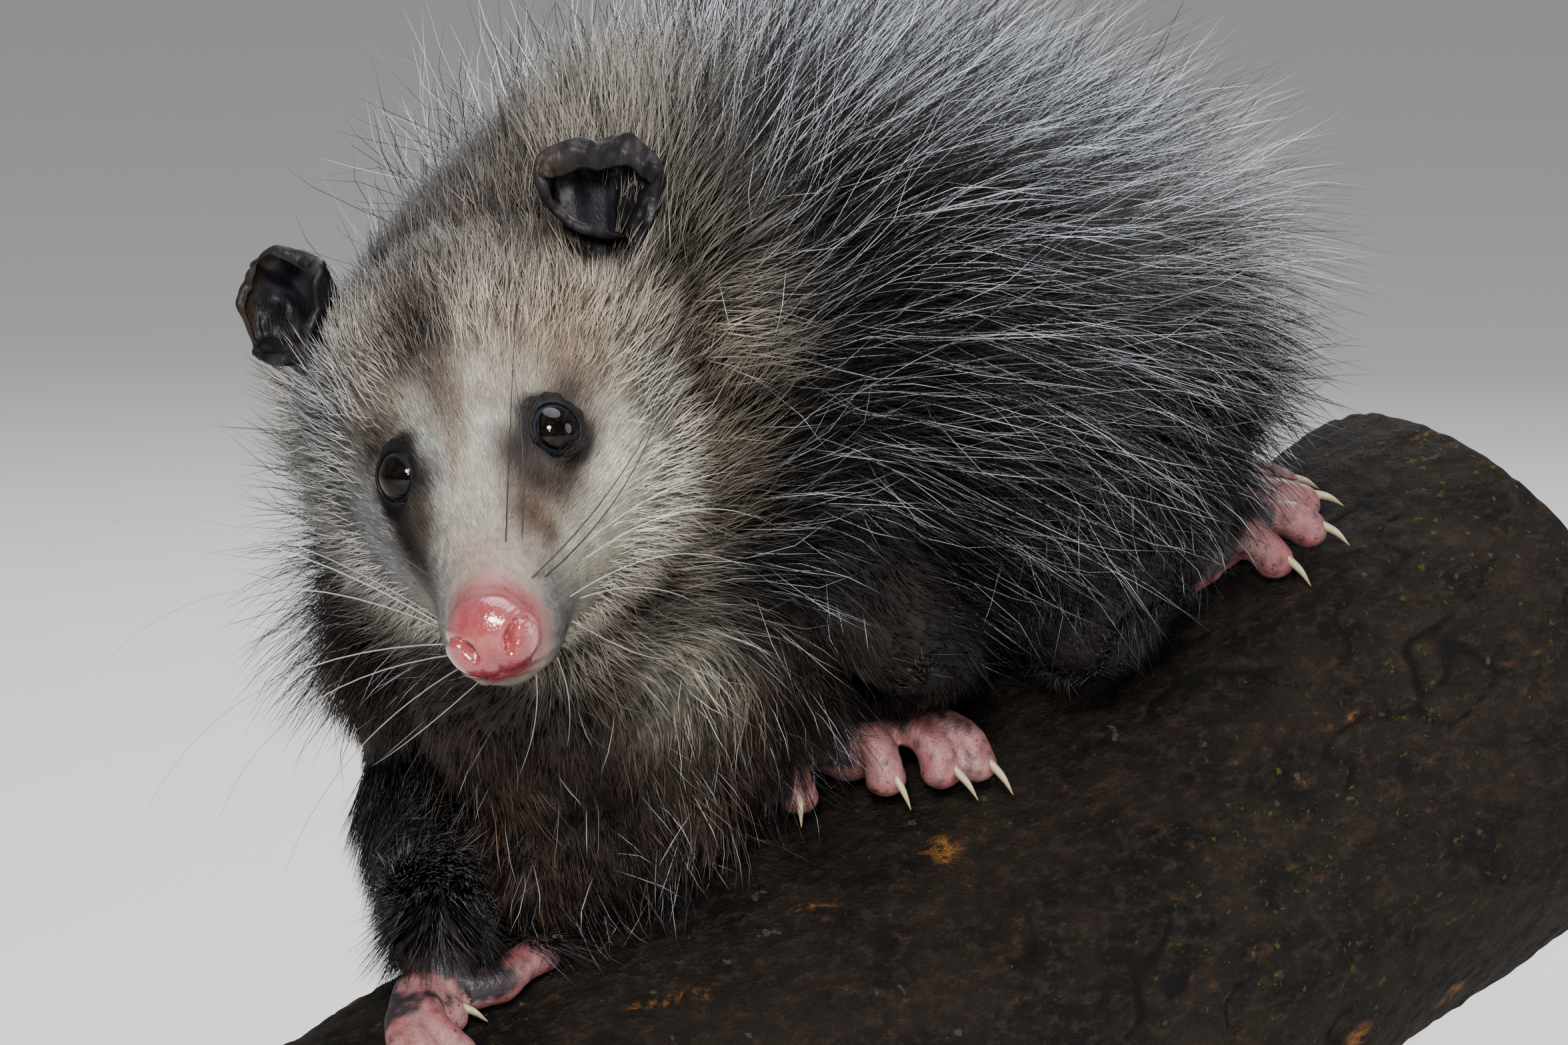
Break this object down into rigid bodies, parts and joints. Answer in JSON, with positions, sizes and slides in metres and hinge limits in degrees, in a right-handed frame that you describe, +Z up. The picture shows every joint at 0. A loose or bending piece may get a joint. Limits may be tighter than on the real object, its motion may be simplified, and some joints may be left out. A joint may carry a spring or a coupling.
{
  "type": "virginia opossum",
  "caption": "Still, life-size Virginia opossum creeping down a cut length of sloping limb, with shaggy coat, naked ears, tail and clawed feet, on a flat display stand.",
  "frame": {"origin": "middle of the underside of the stand's base", "axes": "+Z up; +X uphill along the limb, to the animal's rear; the animal's left flank faces -Y"},
  "size_m": [0.4291, 0.2382, 0.4491],
  "materials": {
    "coat": "dark brown-black underfur with long white-tipped guard hairs",
    "face_fur": "short cream-white fur with grey-brown crown, dark eye rings and a dark streak",
    "leg_fur": "short black-brown fur",
    "foot_skin": "naked pink skin, dark grey on top of the palms",
    "tail_skin": "scaly skin, dark at the root and pale pinkish grey to the tip",
    "ear_skin": "thin naked slate-black skin with a paler rim",
    "eye": "glossy black",
    "claw": "ivory horn with yellowish tips",
    "bark": "dark bark with moss and orange-brown streaks",
    "rod": "satin black steel",
    "base": "dark satin wood"
  },
  "bodies": {
    "root": {"head": "face_fur", "neck": "coat", "torso": "coat", "tail_1": "tail_skin", "tail_2": "tail_skin", "tail_3": "tail_skin", "foreleg_left": "leg_fur", "foreleg_right": "leg_fur", "hindleg_left": "leg_fur", "hindleg_right": "leg_fur", "forefoot_left": "foot_skin", "forefoot_right": "foot_skin", "hindfoot_left": "foot_skin", "hindfoot_right": "foot_skin", "ear_left": "ear_skin", "ear_right": "ear_skin", "eye_left": "eye", "eye_right": "eye", "claw_forefoot_left_1": "claw", "claw_forefoot_left_2": "claw", "claw_forefoot_left_3": "claw", "claw_forefoot_left_4": "claw", "claw_forefoot_left_5": "claw", "claw_forefoot_right_1": "claw", "claw_forefoot_right_2": "claw", "claw_forefoot_right_3": "claw", "claw_forefoot_right_4": "claw", "claw_forefoot_right_5": "claw", "claw_hindfoot_left_2": "claw", "claw_hindfoot_left_3": "claw", "claw_hindfoot_left_4": "claw", "claw_hindfoot_left_5": "claw", "claw_hindfoot_right_2": "claw", "claw_hindfoot_right_3": "claw", "claw_hindfoot_right_4": "claw", "claw_hindfoot_right_5": "claw", "perch": "bark", "stand_rod_front": "rod", "stand_rod_rear": "rod", "stand_base": "base"}
  },
  "joints": []
}
